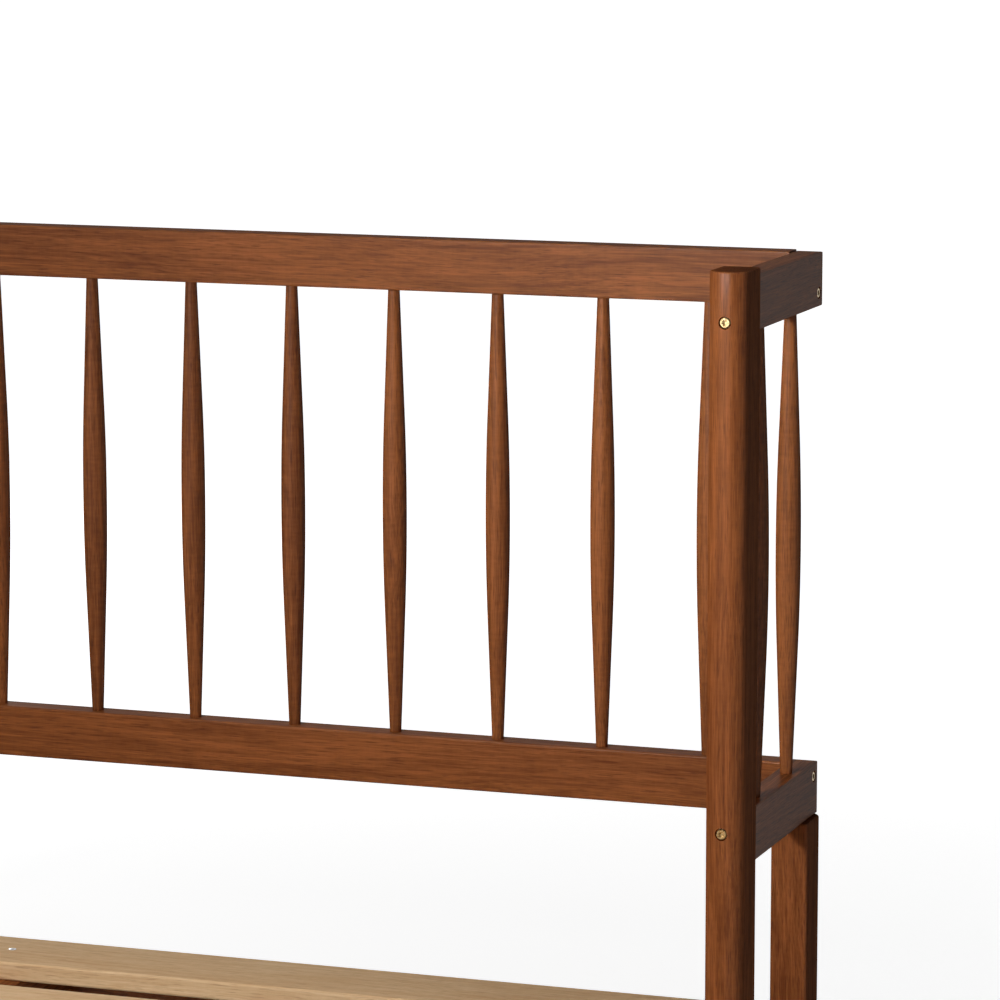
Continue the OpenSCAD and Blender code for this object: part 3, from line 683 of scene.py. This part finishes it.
def make_stud_tree(material):
    tree = new_tree(
        "rolled thread",
        [
            ("Length", "NodeSocketFloat", 0.045),
            ("Diameter", "NodeSocketFloat", 0.008),
            ("Pitch", "NodeSocketFloat", 0.00125),
            ("Thread Depth", "NodeSocketFloat", 0.0006),
            ("Collar Across", "NodeSocketFloat", 0.013),
            ("Collar Height", "NodeSocketFloat", 0.005),
            ("Collar Start", "NodeSocketFloat", 0.006),
        ],
    )
    given = tree.nodes.new("NodeGroupInput")
    result = tree.nodes.new("NodeGroupOutput")
    length = given.outputs["Length"]
    blank = put(tree, "GeometryNodeMeshCylinder", {"fill_type": "NGON"}, Vertices=24, Radius=1.0,
                Depth=length)
    row_height = math_node(tree, "MULTIPLY", given.outputs["Pitch"], 1 / ROWS_PER_PITCH)
    rows = math_node(tree, "DIVIDE", length, row_height)
    tree.links.new(rows, blank.inputs["Side Segments"])
    here = tree.nodes.new("GeometryNodeInputPosition")
    split = put(tree, "ShaderNodeSeparateXYZ", Vector=here.outputs[0])
    raised = math_node(tree, "MULTIPLY_ADD", length, 0.5, split.outputs["Z"])
    angle = math_node(tree, "ARCTAN2", split.outputs["Y"], split.outputs["X"])
    turns = math_node(tree, "DIVIDE", raised, given.outputs["Pitch"])
    phase = math_node(tree, "FRACT", math_node(tree, "MULTIPLY_ADD", angle, -0.5 / math.pi, turns))
    valley = math_node(tree, "ABSOLUTE", math_node(tree, "MULTIPLY_ADD", phase, 2.0, -1.0))
    crest = math_node(tree, "MULTIPLY", given.outputs["Diameter"], 0.5)
    sunk = math_node(tree, "MULTIPLY", valley, given.outputs["Thread Depth"])
    radius = math_node(tree, "SUBTRACT", crest, sunk)
    placed = put(
        tree,
        "ShaderNodeCombineXYZ",
        X=math_node(tree, "MULTIPLY", split.outputs["X"], radius),
        Y=math_node(tree, "MULTIPLY", split.outputs["Y"], radius),
        Z=raised,
    )
    stud = put(tree, "GeometryNodeSetPosition", Geometry=blank.outputs["Mesh"], Position=placed.outputs[0])
    half_across = math_node(tree, "MULTIPLY", given.outputs["Collar Across"], 0.5 / math.cos(math.pi / 6))
    collar = put(tree, "GeometryNodeMeshCylinder", {"fill_type": "NGON"}, Vertices=6, Radius=half_across,
                 Depth=given.outputs["Collar Height"])
    middle = math_node(tree, "MULTIPLY_ADD", given.outputs["Collar Height"], 0.5,
                       given.outputs["Collar Start"])
    lift = put(tree, "ShaderNodeCombineXYZ", Z=middle)
    seated = put(tree, "GeometryNodeTransform", Geometry=collar.outputs["Mesh"],
                 Translation=lift.outputs[0])
    both = tree.nodes.new("GeometryNodeJoinGeometry")
    tree.links.new(stud.outputs[0], both.inputs[0])
    tree.links.new(seated.outputs[0], both.inputs[0])
    copies = put(tree, "GeometryNodeInstanceOnPoints", Points=given.outputs["Geometry"],
                 Instance=both.outputs[0])
    real = put(tree, "GeometryNodeRealizeInstances", Geometry=copies.outputs[0])
    finished = put(tree, "GeometryNodeSetMaterial", Geometry=real.outputs[0])
    finished.inputs["Material"].default_value = material
    tree.links.new(finished.outputs[0], result.inputs[0])
    return tree


stud_tree = make_stud_tree(zinc)
COLLAR_ABOVE_STUD = 0.006
for end in ("head", "foot"):
    node = "leveller_stud_" + end
    low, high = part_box(node)
    middle = ((low.x + high.x) / 2, (low.y + high.y) / 2, low.z)
    stud = places_mesh("threaded_stud_" + end, [middle])
    grow(stud, stud_tree, {"Length": high.z - low.z, "Collar Start": COLLAR_ABOVE_STUD})
    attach(stud, "leveller_" + end)
    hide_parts(node)


def make_pad_plastic():
    material = bpy.data.materials.new("moulded pad plastic")
    material.use_nodes = True
    tree = material.node_tree
    shader = tree.nodes["Principled BSDF"]
    place = tree.nodes.new("ShaderNodeTexCoord")
    noise = put(tree, "ShaderNodeTexNoise", Vector=place.outputs["Object"], Scale=1500.0, Detail=3.0)
    colour = mix_colour(tree, noise.outputs["Fac"], (0.018, 0.018, 0.02, 1), (0.035, 0.035, 0.037, 1))
    tree.links.new(colour, shader.inputs["Base Color"])
    tree.links.new(ramp(tree, noise.outputs["Fac"], 0.3, 0.7, 0.45, 0.6), shader.inputs["Roughness"])
    bump = put(tree, "ShaderNodeBump", Strength=0.3, Distance=0.0001, Height=noise.outputs["Fac"])
    tree.links.new(bump.outputs["Normal"], shader.inputs["Normal"])
    return material


dress(make_pad_plastic(), "leveller_pad_head", "leveller_pad_foot")


# Connector bolts: M6 screws with a hex socket, brass plated, sunk in counterbores. Each pulls into a
# barrel nut that lies across the piece behind the joint.
brass = make_metal("brass plate", (0.44, 0.31, 0.15), 0.3)
dress(brass, "connector_bolts", "barrel_nuts")


# Dowels: short pins of bare beech, glued beside the bolts. They line up each joint and keep it from
# turning.
BEECH_LIGHT = (0.60, 0.42, 0.27)
BEECH_DARK = (0.48, 0.31, 0.18)
beech = wood("beech dowels", ALONG_X, BEECH_LIGHT, BEECH_DARK, PINE_PORE, lacquer=0.1, lacquer_aslant=0.03)
dress(beech, "dowels")


# Studio: a pale floor under white surroundings. The main lamp is at the front left; the others fill
# the headboard's top, its back, the slats and the right side. Camera, mirror and see-through rays
# find the surroundings white.
world = bpy.data.worlds.new("white surroundings")
bpy.context.scene.world = world
world.use_nodes = True
sky = world.node_tree
sky.nodes.clear()
LIGHT_FROM_AROUND = 0.1


def seen_as_background(tree):
    path = tree.nodes.new("ShaderNodeLightPath")
    seen = math_node(tree, "MAXIMUM", path.outputs["Is Camera Ray"], path.outputs["Is Glossy Ray"])
    return math_node(tree, "MAXIMUM", seen, path.outputs["Is Transmission Ray"])


background = put(sky, "ShaderNodeBackground", Color=(1, 1, 1, 1))
strength = math_node(sky, "MULTIPLY_ADD", seen_as_background(sky), 1.0 - LIGHT_FROM_AROUND,
                     LIGHT_FROM_AROUND)
sky.links.new(strength, background.inputs["Strength"])
sky_out = sky.nodes.new("ShaderNodeOutputWorld")
sky.links.new(background.outputs[0], sky_out.inputs["Surface"])

FLOOR_SIZE = 60.0
GLOW_NEAR_BED = 0.78
GLOW_STARTS = 1.5
GLOW_IS_WHITE = 5.0
half = FLOOR_SIZE / 2
floor_mesh = bpy.data.meshes.new("floor")
floor_corners = [(-half, -half, 0), (half, -half, 0), (half, half, 0), (-half, half, 0)]
floor_mesh.from_pydata(floor_corners, [], [(0, 1, 2, 3)])
floor = bpy.data.objects.new("floor", floor_mesh)
bpy.context.scene.collection.objects.link(floor)
floor_paint = bpy.data.materials.new("pale floor")
floor_paint.use_nodes = True
tree = floor_paint.node_tree
shader = tree.nodes["Principled BSDF"]
shader.inputs["Base Color"].default_value = (0.5, 0.5, 0.5, 1)
shader.inputs["Roughness"].default_value = 0.8
shader.inputs["Specular IOR Level"].default_value = 0.1
shader.inputs["Emission Color"].default_value = (1, 1, 1, 1)
place = tree.nodes.new("ShaderNodeTexCoord")
reach = put(tree, "ShaderNodeVectorMath", {"operation": "LENGTH"}, i0=place.outputs["Object"])
glow = ramp(tree, reach.outputs["Value"], GLOW_STARTS, GLOW_IS_WHITE, GLOW_NEAR_BED, 1.0)
seen_glow = math_node(tree, "MULTIPLY", seen_as_background(tree), glow)
tree.links.new(seen_glow, shader.inputs["Emission Strength"])
floor_mesh.materials.append(floor_paint)


def lamp(name, place, aim, size, power, spread=180):
    data = bpy.data.lights.new(name, "AREA")
    data.shape = "SQUARE"
    data.size = size
    data.energy = power
    data.spread = math.radians(spread)
    light = bpy.data.objects.new(name, data)
    light.location = place
    light.rotation_euler = (Vector(aim) - Vector(place)).to_track_quat("-Z", "Y").to_euler()
    bpy.context.scene.collection.objects.link(light)


lamp("front lamp", (-1.1, -4.5, 2.2), (0.4, 0.6, 0.8), 0.9, 104)
lamp("headboard lamp", (-0.5, -3.5, 1.75), (0.72, 0.9, 1.03), 0.4, 2.4, 21)
lamp("back lamp", (-3.0, 5.2, 0.9), (-0.2, 0.8, 0.6), 1.5, 64)
lamp("deck lamp", (-0.1, -0.9, 3.2), (-0.1, -0.45, 0.28), 1.0, 22, 62)
lamp("side lamp", (4.6, -1.6, 1.1), (0.8, -0.8, 0.2), 1.0, 18, 34)

# The camera stands where the photograph was taken from.
camera_data = bpy.data.cameras.new("camera")
camera_data.sensor_width = 36.0
camera_data.lens = 163.67
camera = bpy.data.objects.new("camera", camera_data)
camera.location = (1.9391, -3.0730, 1.4257)
camera.rotation_euler = Euler((math.radians(90 - 8.842), math.radians(0.018), math.radians(19.467)))
bpy.context.scene.collection.objects.link(camera)
bpy.context.scene.camera = camera
bpy.context.scene.view_settings.view_transform = "Standard"
